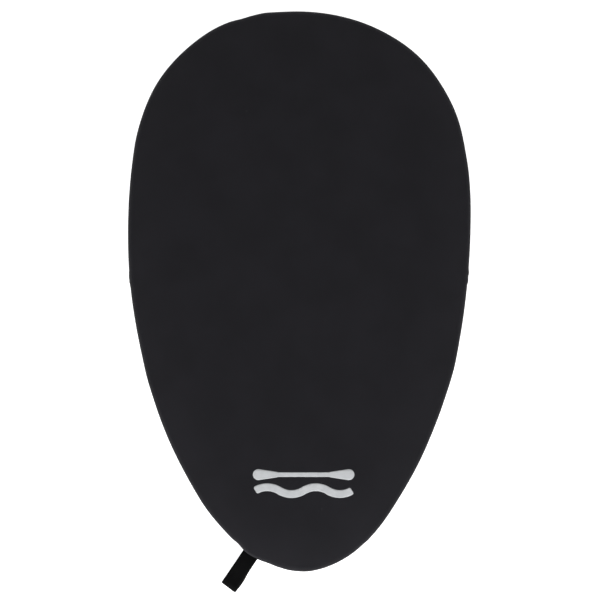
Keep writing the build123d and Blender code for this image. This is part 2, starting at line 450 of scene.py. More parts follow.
def newGroup(name, numbers, outputs):
    # each group takes a Vector in metres and some numbers, and puts out numbers
    group = bpy.data.node_groups.new(name, "ShaderNodeTree")
    group.interface.new_socket("Vector", in_out="INPUT", socket_type="NodeSocketVector")
    for label, value in numbers.items():
        group.interface.new_socket(label, in_out="INPUT",
                                   socket_type="NodeSocketFloat").default_value = value
    for label in outputs:
        group.interface.new_socket(label, in_out="OUTPUT", socket_type="NodeSocketFloat")
    given = group.nodes.new("NodeGroupInput").outputs
    made = group.nodes.new("NodeGroupOutput").inputs
    return group, given, made


def buildKnitFace():
    # jersey knit laminated on neoprene: columns of small V stitches
    group, given, made = newGroup("knitFace", {"Column": 0.0009, "Row": 0.0007, "Slant": 0.55},
                                  ("Height", "Valley"))
    across, along = splitXY(group, given["Vector"])
    wander = times(group, addNoise(group, given["Vector"], 60, 1, 0.5), 0.0012)
    column = addMath(group, "DIVIDE", plus(group, across, wander), given["Column"])
    row = addMath(group, "DIVIDE", plus(group, along, wander), given["Row"])
    leg = addMath(group, "PINGPONG", column, 0.5)  # 0 between columns, 0.5 in their middle
    slanted = plus(group, row, times(group, leg, given["Slant"]))
    loops = addMath(group, "SINE", times(group, slanted, 2 * math.pi))
    loops = addRange(group, loops, -1, 1, 0, 1, smooth=False)
    body = times(group, loops, addRange(group, leg, 0.0, 0.22, 0.0, 1.0))
    middle = addRange(group, leg, 0.40, 0.5, 0.0, 0.5)
    height = addMath(group, "SUBTRACT", body, times(group, middle, body))
    feed(group, made["Height"], height)
    # Valley marks the low places between the stitches: painted shade in the cloth, worn ink in the
    # print
    feed(group, made["Valley"], addMath(group, "SUBTRACT", 1.0, height))
    return group


def buildWeaveFace():
    # plain weave of flat yarns, X along the warp
    group, given, made = newGroup("weaveFace", {"Weft": 0.0012, "Warp": 0.0011, "Crown": 0.5},
                                  ("Height", "Warp Yarn"))
    x, y = splitXY(group, given["Vector"])
    along = addMath(group, "DIVIDE", x, given["Weft"])
    across = addMath(group, "DIVIDE", y, given["Warp"])
    odd = addMath(group, "MODULO", addMath(group, "FLOOR", addMath(group, "ABSOLUTE", across)), 2)
    phase = plus(group, along, times(group, odd, 0.5))
    rise = addMath(group, "SINE", times(group, phase, 2 * math.pi))
    rise = addRange(group, rise, -1, 1, 0, 1, smooth=False)
    crown = addRange(group, addMath(group, "PINGPONG", across, 0.5), 0.0, 0.5, 0.0, 1.0)
    crown = addMath(group, "POWER", crown, given["Crown"])
    feed(group, made["Height"], times(group, crown, plus(group, 0.35, times(group, rise, 0.65))))
    feed(group, made["Warp Yarn"], rise)
    return group


def buildFadeAndLint():
    # slow changes of tone, fine heather and sparse lint
    group, given, made = newGroup("fadeAndLint", {"Patch": 14.0, "Heather": 900.0, "Lint": 0.35},
                                  ("Tone", "Lint"))
    patch = addNoise(group, given["Vector"], given["Patch"], 3, 0.5)
    patch = addRange(group, patch, 0.32, 0.68, 0.0, 1.0)
    heather = addNoise(group, given["Vector"], given["Heather"], 2, 0.5)
    stretch = addNode(group, "Mapping", Vector=given["Vector"], Rotation=(0, 0, 0.7),
                      Scale=(1.0, 0.25, 1.0))
    cells = addNode(group, "TexVoronoi", Vector=stretch.outputs[0], Scale=55, Randomness=1)
    cells.feature = "F1"
    speck = addRange(group, cells.outputs["Distance"], 0.035, 0.012, 0.0, 1.0)
    pick = addMath(group, "GREATER_THAN", addNoise(group, given["Vector"], 38, 0, 0.5), 0.60)
    feed(group, made["Tone"], plus(group, times(group, patch, 0.55), times(group, heather, 0.45)))
    feed(group, made["Lint"], times(group, times(group, speck, pick), given["Lint"]))
    return group


def buildSeamPucker():
    # dimples where the hidden stitches of the deck seam pull the cloth in, put out as a height and
    # as painted shade in the dimples; X is along the seam and Y away from it
    group, given, made = newGroup("seamPucker", {"Pitch": 0.0048, "Reach": 0.0050},
                                  ("Height", "Shade"))
    x, y = splitXY(group, given["Vector"])
    away = addMath(group, "DIVIDE", addMath(group, "ABSOLUTE", y), given["Reach"])
    near = addRange(group, addMath(group, "SUBTRACT", 1.0, away), 0.0, 1.0, 0.0, 1.0)
    uneven = times(group, addNoise(group, given["Vector"], 120, 2, 0.5), 0.0016)
    turn = times(group, addMath(group, "DIVIDE", plus(group, x, uneven), given["Pitch"]),
                 2 * math.pi)
    wave = addRange(group, addMath(group, "SINE", turn), -1, 1, 0, 1, smooth=False)
    dimple = times(group, addMath(group, "POWER", wave, 2.0), near)
    feed(group, made["Height"], addMath(group, "SUBTRACT", 1.0, dimple))
    # painted shade in each dimple
    feed(group, made["Shade"], dimple)
    return group


knitFace = buildKnitFace()
seamPucker = buildSeamPucker()
weaveFace = buildWeaveFace()
fadeAndLint = buildFadeAndLint()


# ---------- materials ----------
def newMaterial(name):
    material = bpy.data.materials.new(name)
    material.use_nodes = True
    tree = material.node_tree
    shader = next(n for n in tree.nodes if n.type == "BSDF_PRINCIPLED")
    return material, tree, shader


def dress(tree, shader, color, roughness, normal, constants=None):
    # what changes over the surface is linked, and what doesn't is set
    for label, value in (("Base Color", color), ("Roughness", roughness), ("Normal", normal)):
        tree.links.new(value, shader.inputs[label])
    for label, value in (constants or {}).items():
        shader.inputs[label].default_value = value


def placeGroup(tree, group, vector, values=None):
    node = tree.nodes.new("ShaderNodeGroup")
    node.node_tree = group
    tree.links.new(vector, node.inputs["Vector"])
    for label, value in (values or {}).items():
        node.inputs[label].default_value = value
    return node.outputs


def clothVector(tree, mapName="clothMap"):
    node = tree.nodes.new("ShaderNodeUVMap")
    node.uv_map = mapName
    return node.outputs["UV"]


def objectVector(tree):
    return tree.nodes.new("ShaderNodeTexCoord").outputs["Object"]


def readRub(tree):
    node = tree.nodes.new("ShaderNodeAttribute")
    node.attribute_name = "rub"
    return node.outputs["Fac"]


def addMix(tree, amount, low, high):
    node = tree.nodes.new("ShaderNodeMix")
    node.data_type = "RGBA"
    for label, value in (("Factor", amount), ("A", low), ("B", high)):
        feed(tree, node.inputs[label], value)
    return node.outputs["Result"]


def addBump(tree, height, distance, strength=1.0, under=None):
    node = addNode(tree, "Bump", Strength=strength, Distance=distance, Height=height)
    if under is not None:
        tree.links.new(under, node.inputs["Normal"])
    return node.outputs["Normal"]


clothMix = {
    "valleyShade": 0.6,  # painted shade: how much darker the knit is between its stitches
    "rub": 0.6,  # how much of the worn color a rubbed place takes
    "rubShine": 0.15,
    "toneRough": 0.06,
    # painted shade in the seam's dimples
    "pucker": 0.55,
    "knitLint": (0.16, 0.16, 0.16),
    "webLint": (0.14, 0.14, 0.14),
    "webToneRough": 0.1,
}


def buildKnitMaterial(name, finish):
    material, tree, shader = newMaterial(name)
    vector = clothVector(tree)
    knit = placeGroup(tree, knitFace, vector, {"Column": finish["column"], "Row": finish["row"]})
    fade = placeGroup(tree, fadeAndLint, vector, {"Lint": finish["lint"]})
    rub = readRub(tree)
    base = addMix(tree, fade["Tone"], finish["dark"], finish["light"])
    # painted shade between the stitches: the knit's low places take the darker valley colour
    base = addMix(tree, times(tree, knit["Valley"], clothMix["valleyShade"]), base, finish["valleyShade"])
    base = addMix(tree, times(tree, rub, clothMix["rub"]), base, finish["worn"])
    base = addMix(tree, fade["Lint"], base, clothMix["knitLint"])
    rough = addMath(tree, "SUBTRACT", finish["roughness"],
                    times(tree, rub, clothMix["rubShine"]))
    rough = plus(tree, rough, times(tree, fade["Tone"], clothMix["toneRough"]))
    normal = addBump(tree, addNoise(tree, vector, 160, 2), 0.0004, 0.5)
    if finish["pucker"]:
        pucker = placeGroup(tree, seamPucker, clothVector(tree, "seamMap"))
        normal = addBump(tree, pucker["Height"], finish["pucker"], 1.0, normal)
        # painted shade in the seam's dimples, in the valley colour
        base = addMix(tree, times(tree, pucker["Shade"], clothMix["pucker"]), base,
                      finish["valleyShade"])
    normal = addBump(tree, knit["Height"], finish["depth"], 1.0, normal)
    dress(tree, shader, base, rough, normal,
          {"Specular IOR Level": finish["specular"], "Sheen Weight": finish["sheen"],
           "Sheen Roughness": 0.45, "Sheen Tint": (0.75, 0.76, 0.82, 1)})
    return material


def buildWovenMaterial(name, finish):
    material, tree, shader = newMaterial(name)
    vector = clothVector(tree)
    weave = placeGroup(tree, weaveFace, vector, {"Weft": finish["weft"], "Warp": finish["warp"]})
    fade = placeGroup(tree, fadeAndLint, vector, {"Lint": finish["lint"], "Patch": 40.0})
    base = addMix(tree, fade["Tone"], finish["dark"], finish["light"])
    # painted shade: the weave's low places take the darker valley colour
    base = addMix(tree, weave["Height"], finish["valleyShade"], base)
    base = addMix(tree, times(tree, readRub(tree), clothMix["rub"]), base, finish["worn"])
    base = addMix(tree, fade["Lint"], base, clothMix["webLint"])
    rough = plus(tree, finish["roughness"], times(tree, fade["Tone"], clothMix["webToneRough"]))
    fibers = addBump(tree, addNoise(tree, vector, 2600, 2), 0.00006, 0.6)
    dress(tree, shader, base, rough,
          addBump(tree, weave["Height"], finish["depth"], 1.0, fibers),
          {"Specular IOR Level": finish["specular"], "Sheen Weight": finish["sheen"]})
    return material


# each valley colour is painted shade, between the stitches and in the seam's dimples
knitFinish = {
    "deck": {"column": 0.0010, "row": 0.0008, "depth": 0.00026, "lint": 0.22, "pucker": 0.0009,
             "dark": (0.0120, 0.0115, 0.0147), "light": (0.0205, 0.0196, 0.0246),
             "valleyShade": (0.0078, 0.0075, 0.0095), "worn": (0.026, 0.026, 0.028),
             "roughness": 0.78, "specular": 0.18, "sheen": 0.05},
    "band": {"column": 0.0010, "row": 0.0008, "depth": 0.00026, "lint": 0.15, "pucker": 0.0009,
             "dark": (0.0096, 0.0094, 0.0112), "light": (0.0160, 0.0156, 0.0184),
             "valleyShade": (0.0060, 0.0059, 0.0070), "worn": (0.024, 0.024, 0.026),
             "roughness": 0.80, "specular": 0.18, "sheen": 0.10},
    "sleeve": {"column": 0.0007, "row": 0.0006, "depth": 0.00018, "lint": 0.2, "pucker": 0,
               "dark": (0.0075, 0.0075, 0.0080), "light": (0.0120, 0.0120, 0.0128),
               "valleyShade": (0.0040, 0.0040, 0.0044), "worn": (0.030, 0.030, 0.031),
               "roughness": 0.66, "specular": 0.3, "sheen": 0.05},
    "tape": {"column": 0.0006, "row": 0.0005, "depth": 0.00012, "lint": 0.1, "pucker": 0,
             "dark": (0.0090, 0.0090, 0.0098), "light": (0.0130, 0.0130, 0.0138),
             "valleyShade": (0.0060, 0.0060, 0.0064), "worn": (0.022, 0.022, 0.024),
             "roughness": 0.62, "specular": 0.3, "sheen": 0.03},
}
webbingFinish = {
    "weft": 0.0016, "warp": 0.0012, "depth": 0.00030, "lint": 0.2,
    "dark": (0.0018, 0.0018, 0.0020), "light": (0.0036, 0.0036, 0.0040),
    "valleyShade": (0.0010, 0.0010, 0.0011), "worn": (0.010, 0.010, 0.011),
    "roughness": 0.55, "specular": 0.035, "sheen": 0.0,
}
deckKnit, bandKnit, sleeveKnit, tapeKnit = (
    buildKnitMaterial(part + "Knit", finish) for part, finish in knitFinish.items())
webbingWeave = buildWovenMaterial("webbingWeave", webbingFinish)


def buildThreadMaterial():
    material, tree, shader = newMaterial("blackThread")
    vector = clothVector(tree)
    twist = addDiagonalWave(tree, vector, 900, 1.5)
    color = addMix(tree, addNoise(tree, vector, 700, 2), (0.016, 0.016, 0.017),
                   (0.034, 0.034, 0.036))
    dress(tree, shader, color, addRange(tree, twist, 0, 1, 0.42, 0.6),
          addBump(tree, twist, 0.00008, 0.8), {"Specular IOR Level": 0.4})
    return material


blackThread = buildThreadMaterial()
print("materials: cloth and thread ready")

# ---------- deck panel ----------
deck = {
    "points": 512,
    "topZ": 0.048,
    "thickness": 0.003,
    "fallWidth": 0.080,
    "fallSlope": 16,  # degrees
    "rollRadius": 0.009,
    "wallBottom": 0.02510,
    "crown": 0.0030,  # how much higher the middle stands under the tension of the fabric
    "swell": 0.0010,  # slow unevenness
    "ripple": 0.00022,  # faint draw lines near the edge
    # the cut edge at the foot of the wall: inset and height above it
    "lip": ((0.0012, 0.0), (0.0003, 0.0006), (0.0, 0.0014)),
    "rollTurns": (0, 12, 24, 36, 48, 60, 74),
    # insets of the rings from the roll to the flat middle
    "rings": (0.009, 0.0125, 0.0165, 0.021, 0.026, 0.032, 0.039, 0.047, 0.056, 0.066, 0.077,
              0.088, 0.099),
    "rub": 0.18,
}
rollRun = deck["rollRadius"] * (1 - math.sin(math.radians(deck["fallSlope"])))
fallRadius = (deck["fallWidth"] - rollRun) / math.sin(math.radians(deck["fallSlope"]))
rollTop = deck["topZ"] - fallRadius * (1 - math.cos(math.radians(deck["fallSlope"])))
rollZ = rollTop - deck["rollRadius"] * math.cos(math.radians(deck["fallSlope"]))


def deckBase(inset):
    if inset >= deck["fallWidth"]:
        return deck["topZ"]
    if inset >= rollRun:
        reach = deck["fallWidth"] - inset
        return deck["topZ"] - fallRadius + math.sqrt(fallRadius ** 2 - reach ** 2)
    reach = deck["rollRadius"] - inset
    return rollZ + math.sqrt(max(0.0, deck["rollRadius"] ** 2 - reach ** 2))


def deckLift(x, y, inset):
    # crown, slow swells and draw lines on top of the sewn shape
    inner = ease((inset - 0.012) / 0.10)
    lift = deck["crown"] * ease((inset - 0.015) / 0.19)
    swell = noise.noise(Vector((x * 6.5, y * 5.0, 2.7))) + 0.5 * noise.noise(
        Vector((x * 15, y * 11, 8.1)))
    lift += deck["swell"] * swell * inner
    nearEdge = ease(inset / 0.008) * (1 - ease((inset - 0.010) / 0.045))
    if nearEdge > 0:
        heading, _ = rimPlace(x, y)
        base = rimPoint(heading)
        lift += deck["ripple"] * nearEdge * noise.noise(Vector((base.x * 55, base.y * 55, 0.4)))
    return lift


def deckHeight(x, y):
    _, inset = rimPlace(x, y)
    return deckBase(inset) + deckLift(x, y, inset)


def deckFlatInset(inset, z):
    # inset on the flat pattern, where the rolled edge is laid out straight
    if inset >= deck["fallWidth"]:
        return inset
    if inset >= rollRun:
        angle = math.asin(clamp((deck["fallWidth"] - inset) / fallRadius, 0, 1))
        return deck["fallWidth"] - fallRadius * angle
    fallEnd = deck["fallWidth"] - fallRadius * math.radians(deck["fallSlope"])
    if z > rollZ:
        angle = math.atan2(deck["rollRadius"] - inset, z - rollZ)
        return fallEnd - deck["rollRadius"] * (angle - math.radians(deck["fallSlope"]))
    return fallEnd - deck["rollRadius"] * math.radians(90 - deck["fallSlope"]) - (rollZ - z)


def buildDeck():
    count = deck["points"]
    headings = [headingAt(rimLength * n / count) for n in range(count)]
    profile = [(inset, deck["wallBottom"] + z) for inset, z in deck["lip"]]
    profile.append((0.0, 0.5 * (deck["wallBottom"] + rollZ) + 0.0006))
    for turn in deck["rollTurns"]:
        a = math.radians(turn)
        profile.append((deck["rollRadius"] * (1 - math.cos(a)),
                        rollZ + deck["rollRadius"] * math.sin(a)))
    profile += [(inset, deckBase(inset)) for inset in deck["rings"]]
    rings = [[rimPoint(h, inset, z) for h in headings] for inset, z in profile]
    piece = loftRings("deckPanel", rings, fillEnd="grid")

    def flatPlace(co):
        heading, inset = rimPlace(co.x, co.y)
        if inset >= deck["fallWidth"]:
            return (co.x, co.y)
        spot = rimPoint(heading, deckFlatInset(inset, co.z))
        return (spot.x, spot.y)

    mapPiece(piece, flatPlace)
    mapPiece(piece, lambda co: (alongRim(rimPlace(co.x, co.y)[0]),
                                co.z - deck["wallBottom"] if co.z < rollZ else 0.02), "seamMap")

    def settle(co):
        heading, inset = rimPlace(co.x, co.y)
        lift = deckLift(co.x, co.y, inset) if co.z > rollZ else 0.0
        return co + outward(heading) * rimDrift(heading, inset) + Vector((0, 0, lift))

    def rub(co):
        # along the outermost line of the edge
        if co.z <= rollZ - 0.002:
            return 0.0
        near = ease(1 - abs(rimPlace(co.x, co.y)[1] - 0.002) / 0.006)
        return deck["rub"] * near * (0.4 + 0.6 * noise.noise(co * 30))

    rubAttribute(piece, rub)
    reshape(piece, settle)
    finishShell(piece)
    thicken(piece, "neoprene", deck["thickness"], even=True)
    smoothBy(50)
    piece.data.materials.append(deckKnit)
    return piece


deckPanel = buildDeck()
standsFor(deckPanel, "neoprene", "deck_panel")
# cut as an egg, 16 mm longer and wider than the finished outline
print("deck panel:", len(deckPanel.data.polygons), "faces")

# ---------- side band, in a rear and a front piece ----------
band = {
    "center": (0.024, 0.025),  # inset and height of the middle of the band's arc
    "outer": 0.024,
    "inner": 0.021,
    "rounding": 0.0007,
    "start": 0.15,  # the cloth begins at this turn in degrees
    "turn": 68,  # and ends at this one
    "count": 18,
    "pucker": 0.0009,
    "seamGap": 0.004,  # degrees
}


def bandArc(turn, radius):
    # inset and height at a turn in degrees, at a distance from the middle of the arc
    a = math.radians(turn)
    return band["center"][0] - radius * math.cos(a), band["center"][1] - radius * math.sin(a)


def bandTurn(inset, z):
    return math.degrees(math.atan2(band["center"][1] - z, band["center"][0] - inset))


def gather(heading, depth, scale=70.0, seed=0.0):
    # soft folds that run across the edge; depth slides along them
    base = rimPoint(heading)
    soft = noise.noise(Vector((base.x * scale, base.y * scale, seed + depth)))
    fine = noise.noise(Vector((base.x * scale * 2.1, base.y * scale * 2.1, seed + 5 + depth)))
    return soft + 0.45 * fine


def settleBand(co):
    heading, inset = rimPlace(co.x, co.y)
    turn = bandTurn(inset, co.z)
    push = band["pucker"] * ease(turn / 70) * gather(heading, turn / 90)
    a = math.radians(turn)
    out = outward(heading)
    return (co + out * (rimDrift(heading, inset) + push * math.cos(a))
            - Vector((0, 0, push * math.sin(a))))


def bandSection():
    # closed section of the cloth, turning down from its top, with rounded edges
    points = []
    end = band["count"] - 1
    turns = [band["start"] + (band["turn"] - band["start"]) * n / end for n in range(end + 1)]
    for radius, rounding, order in ((band["outer"], -band["rounding"], 1),
                                    (band["inner"], band["rounding"], -1)):
        for n, turn in enumerate(turns[::order]):
            points.append(bandArc(turn, radius + rounding if n in (0, end) else radius))
    return points


def buildBand(name, first, last):
    piece = spinAlongRim(name, bandSection(), first, last)

    def place(co):
        heading, inset = rimPlace(co.x, co.y)
        return (alongRim(heading), band["outer"] * math.radians(bandTurn(inset, co.z)))

    mapPiece(piece, place)
    mapPiece(piece, place, "seamMap")

    def rub(co):
        _, inset = rimPlace(co.x, co.y)
        low = ease((bandTurn(inset, co.z) - 45) / 25)
        return low * (0.35 + 0.5 * noise.noise(co * 45))

    rubAttribute(piece, rub)
    return settleCloth(piece, settleBand, bandKnit)


seam = rim["sideSeam"]
bandRear = buildBand("sideBandRear", seam + band["seamGap"], 360 - seam - band["seamGap"])
bandFront = buildBand("sideBandFront", -seam + band["seamGap"], seam - band["seamGap"])
for piece, node, length in ((bandRear, "side_band_rear", 1.136),
                            (bandFront, "side_band_front", 1.129)):
    standsFor(piece, "neoprene_band", node)
print("side band: rear and front")

# ---------- sleeve round the bungee, folded from one strip ----------
sleeve = {
    "center": (0.024, 0.0064),
    "tube": 0.0058,  # radius of the middle of the fabric round the bungee
    "fabric": 0.0017,
    "outerLayer": 0.0200,  # distance from the band's arc center
    "innerLayer": 0.0182,
    "gather": 0.0008,
    "free": (0.0068, 0.006),  # how far from its middle it moves freely, and how softly that ends
    "lowest": 0.0002,
}


def sleevePath():
    points = [bandArc(turn, sleeve["outerLayer"]) for turn in (34, 44, 54)]
    for phi in (205, 235, 265, 295, 325, 355, 25, 55, 85, 112):
        a = math.radians(phi)
        points.append((sleeve["center"][0] + sleeve["tube"] * math.cos(a),
                       sleeve["center"][1] + sleeve["tube"] * math.sin(a)))
    points.append((0.0178, 0.0101))
    points += [bandArc(turn, sleeve["innerLayer"]) for turn in (60, 50, 42, 34)]
    return smoothPath(points, 3)


def settleSleeve(co):
    heading, inset = rimPlace(co.x, co.y)
    dx, dz = inset - sleeve["center"][0], co.z - sleeve["center"][1]
    reach = math.hypot(dx, dz)
    free = 1 - ease((reach - sleeve["free"][0]) / sleeve["free"][1])
    around = math.atan2(dz, dx)
    push = sleeve["gather"] * free * gather(heading, 0.7 * math.sin(around), 95, 3.0)
    push *= clamp((reach - 0.0035) / 0.0025)
    out = outward(heading)
    moved = co + out * (rimDrift(heading, inset) - push * math.cos(around))
    moved += Vector((0, 0, push * math.sin(around)))
    if free < 1:
        turn = math.radians(bandTurn(inset, co.z))
        follow = band["pucker"] * ease(math.degrees(turn) / 70) * gather(
            heading, math.degrees(turn) / 90) * (1 - free)
        moved += out * follow * math.cos(turn) - Vector((0, 0, follow * math.sin(turn)))
    moved.z = max(moved.z, sleeve["lowest"])
    return moved


def buildSleeve(name, first, last):
    section = thickenPath(sleevePath(), sleeve["fabric"])
    piece = spinAlongRim(name, section, first, last, step=0.0034)

    def place(co):
        heading, inset = rimPlace(co.x, co.y)
        around = math.atan2(co.z - sleeve["center"][1], inset - sleeve["center"][0])
        return (alongRim(heading), sleeve["free"][0] * around)

    mapPiece(piece, place)
    rubAttribute(piece, lambda co: ease((0.004 - co.z) / 0.004)
                 * (0.6 + 0.5 * noise.noise(co * 60)))
    return settleCloth(piece, settleSleeve, sleeveKnit)


seam = rim["sleeveSeam"]
sleeveRear = buildSleeve("randSleeveRear", seam + band["seamGap"], 360 - seam - band["seamGap"])
sleeveFront = buildSleeve("randSleeveFront", -seam + band["seamGap"], seam - band["seamGap"])
for piece, node, length in ((sleeveRear, "rand_sleeve_rear", 1.149),
                            (sleeveFront, "rand_sleeve_front", 1.116)):
    standsFor(piece, "sleeve_fabric", node)
print("bungee sleeve: rear and front")

# ---------- tapes: over the deck seam inside, and over the band's joints outside ----------
strap = {
    "heading": -34,
    "width": 0.025,
    "layer": 0.00125,
    "gap": 0.00012,
    "droop": 20.3,
    "reach": 0.0623,
    "overrun": 0.0020,  # the soft fold reaches past the plain CAD strap
    "seat": 0.0004,  # sideways, at the root
    "lean": 0.0008,  # and more of it at the fold
    "skew": 0.055,  # metres of lead for each metre across, at the fold
    "sideBow": 0.0016,  # how far the lower layer shows beside the upper one
    "ribs": 11,
    "rib": 0.00005,
    "arch": 0.0011,  # how far its first half bends up, and its second half down
    "dip": 0.0005,
    "fold": 0.0009,  # how much its fold is lifted to lie on the floor
    "puff": 0.5,  # how much the two layers part in their middle
    "wide": (1.045, 0.015),  # soft webbing spreads: at the root, and more at the fold
    "tilt": 0.0004,  # how far the lower layer wanders sideways
    "waver": 0.00012,  # a webbing edge is never quite straight
    "sag": 0.0004,  # at both edges
}
tape = {
    "thickness": 0.0006,
    "sideWidth": 0.019,
    "sideLength": 0.0206,
    "sideThickness": 0.0010,
    "sideTurns": (0.6, 50),
}
tapeOutside = band["inner"] - 0.0001
strapHalfAngle = math.degrees(strap["width"] / 2 / rim["radii"][0]) + 0.5


def buildDeckTape():
    inside = band["center"][0] - tapeOutside
    section = []
    for offset, order in ((0.0, 1), (tape["thickness"], -1)):
        line = [(inside + offset, rollZ - 0.0002), (inside + offset, 0.5 * (rollZ + 0.025)),
                (inside + offset, 0.0255)]
        line += [bandArc(turn, tapeOutside - offset) for turn in (2, 6, 10, 14, 18, 20)]
        section += line[::order]
    piece = spinAlongRim("deckSeamTape", section, strap["heading"] + strapHalfAngle,
                         strap["heading"] - strapHalfAngle + 360, step=0.006)
    mapPiece(piece, lambda co: (alongRim(rimPlace(co.x, co.y)[0]), co.z))
    return settleCloth(piece, driftOnly, tapeKnit)


def buildSideTape(name, side):
    # a soft pad of tape with rounded corners, wrapped round the outside of the joint
    half = math.degrees(tape["sideWidth"] / 2 / rim["radii"][2])
    low, high = band["outer"] + 0.0001, band["outer"] + tape["sideThickness"]
    piece = addStrip(name, 15, 22)

    def wrap(co):
        across, down = co.x, 0.5 + co.y / 2
        turn = tape["sideTurns"][0] + (tape["sideTurns"][1] - tape["sideTurns"][0]) * down
        edge = min(1 - abs(across), 2 * min(down, 1 - down) * 1.3)
        narrow = 1 - 0.10 * ease(1 - min(down, 1 - down) / 0.10) ** 2
        radius = low + (high - low) * (0.55 + 0.45 * ease(edge / 0.22))
        radius += 0.00012 * noise.noise(Vector((across * 2.5, down * 6, 4 + side)))
        heading = side * rim["sideSeam"] + half * across * narrow
        return settleBand(rimPoint(heading, *bandArc(turn, radius)))

    layUV(piece, lambda co: (co.x * tape["sideWidth"] / 2, co.y * tape["sideLength"] / 2))
    reshape(piece, wrap)
    finishShell(piece, 60)
    center = sum((v.co for v in piece.data.vertices), Vector()) / len(piece.data.vertices)
    facing = sum((f.normal for f in piece.data.polygons), Vector())
    if facing.dot(center - Vector((0, center.y, 0))) < 0:
        editAll(piece)
        bpy.ops.mesh.flip_normals()
        leaveEdit()
    thicken(piece, "tape", tape["thickness"])
    smoothBy(60)
    piece.data.materials.append(tapeKnit)
    return piece


deckTape = buildDeckTape()
sideTapes = {"side_seam_tape_right": buildSideTape("sideSeamTapeRight", 1),
             "side_seam_tape_left": buildSideTape("sideSeamTapeLeft", -1)}
for node, piece in (("deck_seam_tape", deckTape), *sideTapes.items()):
    standsFor(piece, "seam_tape", node)
print("tapes: deck seam and both band joints")

# ---------- stitching ----------
stitch = {
    "radius": 0.00032,
    "length": 0.0031,
    "pitch": 0.0038,
    "sag": 0.00030,  # how far its ends go into the cloth
    "turn": 56,
}


def makeStitch(name, length, radius, sag):
    # one visible stitch along X, its ends diving into the cloth
    selectNothing()
    bpy.ops.mesh.primitive_cylinder_add(vertices=6, radius=radius, depth=length,
                                        rotation=(0, math.pi / 2, 0), end_fill_type="TRIFAN")
    piece = bpy.context.object
    piece.name = piece.data.name = name
    bpy.ops.object.transform_apply(location=True, rotation=True, scale=True)
    bpy.ops.object.mode_set(mode="EDIT")
    bpy.ops.mesh.select_all(action="DESELECT")
    work = bmesh.from_edit_mesh(piece.data)
    for edge in work.edges:
        a, b = edge.verts
        edge.select = abs(a.co.x - b.co.x) > length * 0.8
    bmesh.update_edit_mesh(piece.data)
    bpy.ops.mesh.subdivide(number_cuts=3)
    leaveEdit()
    for vertex in piece.data.vertices:
        t = vertex.co.x / (length / 2)
        narrow = 1 - 0.45 * abs(t) ** 4
        vertex.co = Vector((vertex.co.x, vertex.co.y * narrow,
                            vertex.co.z * narrow - sag * t * t * abs(t)))
    layUV(piece, lambda co: (co.x, math.atan2(co.z, co.y) * radius))
    for face in piece.data.polygons:
        face.use_smooth = True
    return piece


def copyStitches(name, model, frames):
    copies = []
    for matrix in frames:
        one = model.copy()
        one.data = model.data.copy()
        one.data.transform(matrix)
        bpy.context.collection.objects.link(one)
        copies.append(one)
    bpy.data.objects.remove(model)
    piece = joinPieces(copies, name)
    piece.data.materials.append(blackThread)
    return piece


def frameAt(spot, along, up):
    side = up.cross(along).normalized()
    up = along.cross(side).normalized()
    return Matrix.Translation(spot) @ Matrix((along, side, up)).transposed().to_4x4()


def rimStitches(name, turn, radius, settle, facing, swing=0.0, first=-180, last=180, length=None):
    # a row along the rim at a turn of the band; facing is 1 outside and -1 inside
    model = makeStitch(name, length or stitch["length"], stitch["radius"], stitch["sag"])
    frames = []
    total = alongRim(last - 1e-4) - alongRim(first) if last <= 180 else rimLength - (
        alongRim(first) - alongRim(last - 360))
    count = round(total / stitch["pitch"])
    for n in range(count):
        heading = headingAt(alongRim(first) + total * (n + 0.5) / count)
        at = turn + random.uniform(-0.5, 0.5)
        a = math.radians(at)
        spot = settle(rimPoint(heading, *bandArc(at, radius)))
        out = outward(heading)
        along = Vector((-out.y, out.x, 0))
        up = (out * math.cos(a) - Vector((0, 0, math.sin(a)))) * facing
        if swing:
            tilt = math.radians(swing if n % 2 else -swing)
            along = along * math.cos(tilt) + up.cross(along) * math.sin(tilt)
        frames.append(frameAt(spot, along.normalized(), up))
    return copyStitches(name, model, frames)


needleThread = rimStitches("sleeveNeedleThread", stitch["turn"], band["outer"] + 0.0001,
                           settleBand, 1)
bobbinThread = rimStitches("sleeveBobbinThread", stitch["turn"], sleeve["innerLayer"] - 0.00095,
                           settleSleeve, -1)
deckThread = rimStitches("deckSeamThread", -3.5, tapeOutside - tape["thickness"] - 0.0001,
                         driftOnly, -1, swing=38, first=strap["heading"] + strapHalfAngle,
                         last=strap["heading"] - strapHalfAngle + 360, length=0.0046)
for piece, node in ((needleThread, "sleeve_needle_thread"), (bobbinThread, "sleeve_bobbin_thread"),
                    (deckThread, "deck_seam_thread")):
    standsFor(piece, "thread", node)
print("stitching: sleeve seam and deck seam")

# ---------- pull strap: one length of webbing, both ends sewn inside, folded at its end ----------
strapOut = outward(strap["heading"])
strapSide = Vector((-strapOut.y, strapOut.x, 0))
strapRoot = rimPoint(strap["heading"])
pivotOut, pivotZ = 0.0021, 0.0235


def strapSpot(out, z, side=0.0):
    return strapRoot + strapOut * out + strapSide * side + Vector((0, 0, z))


